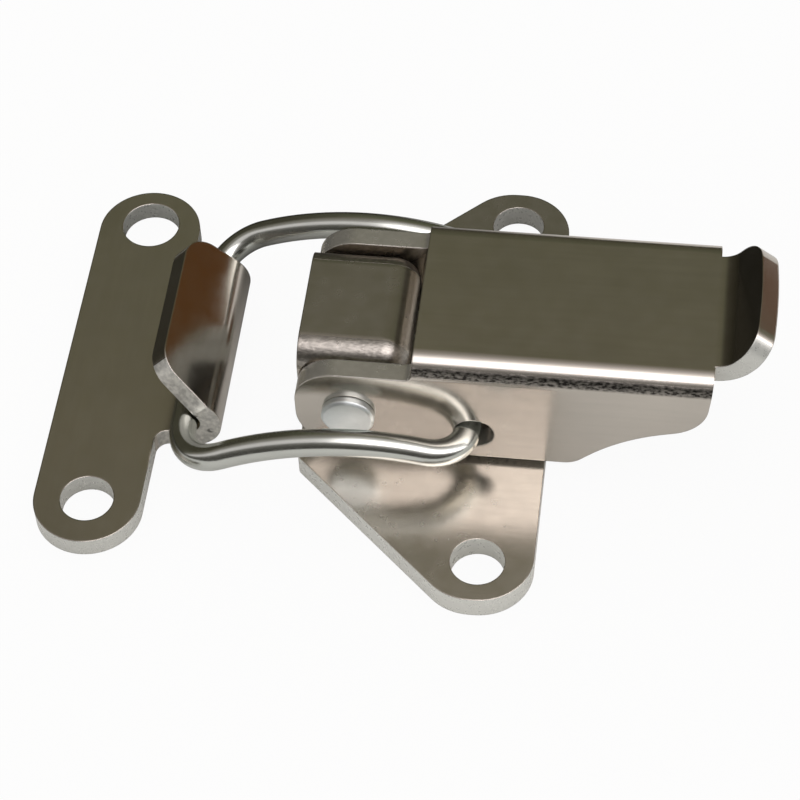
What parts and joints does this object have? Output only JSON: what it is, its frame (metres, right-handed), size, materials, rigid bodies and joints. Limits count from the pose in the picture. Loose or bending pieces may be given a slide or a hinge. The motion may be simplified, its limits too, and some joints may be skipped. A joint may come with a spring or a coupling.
{
  "type": "over centre toggle latch",
  "caption": "Over centre toggle latch of pressed plated steel: base plate with a raised hump, folded lever with a finger tab, wire bail and hooked keeper plate.",
  "frame": {"origin": "midway between the base plate's two screw holes, on its mounting face", "axes": "+X along the latch from the keeper to the finger tab, +Y across it along the row of base screws, +Z away from the mounting face"},
  "size_m": [0.0737, 0.054, 0.0209],
  "materials": {
    "base_plate_metal": "bright nickel-plated pressed steel",
    "rivet_metal": "zinc-plated steel",
    "lever_metal": "bright nickel-plated pressed steel",
    "bail_metal": "bright plated steel wire",
    "keeper_metal": "bright nickel-plated pressed steel"
  },
  "bodies": {
    "base": {"base_plate": "base_plate_metal", "pivot_rivet": "rivet_metal"},
    "lever": {"lever": "lever_metal"},
    "bail": {"bail": "bail_metal"},
    "keeper": {"keeper_plate": "keeper_metal"}
  },
  "joints": [
    {"name": "lever_pivot", "type": "hinge", "parent": "base", "child": "lever", "pos_m": [-0.0143, 0, 0.0089], "axis": [0, -1, 0], "range_deg": [0, 100]},
    {"name": "bail_pivot", "type": "hinge", "parent": "lever", "child": "bail", "pos_m": [-0.0022, 0, 0.00705], "axis": [0, -1, 0], "range_deg": [-70.7, 0]},
    {"name": "keeper_hook", "type": "hinge", "parent": "bail", "child": "keeper", "pos_m": [-0.03178, 0, 0.00385], "axis": [0, -1, 0], "range_deg": [-29.4, 0]}
  ],
  "couplings": [
    {"joint": "bail_pivot", "follows": "lever_pivot", "ratio": -0.7065},
    {"joint": "keeper_hook", "follows": "lever_pivot", "ratio": -0.2935}
  ]
}
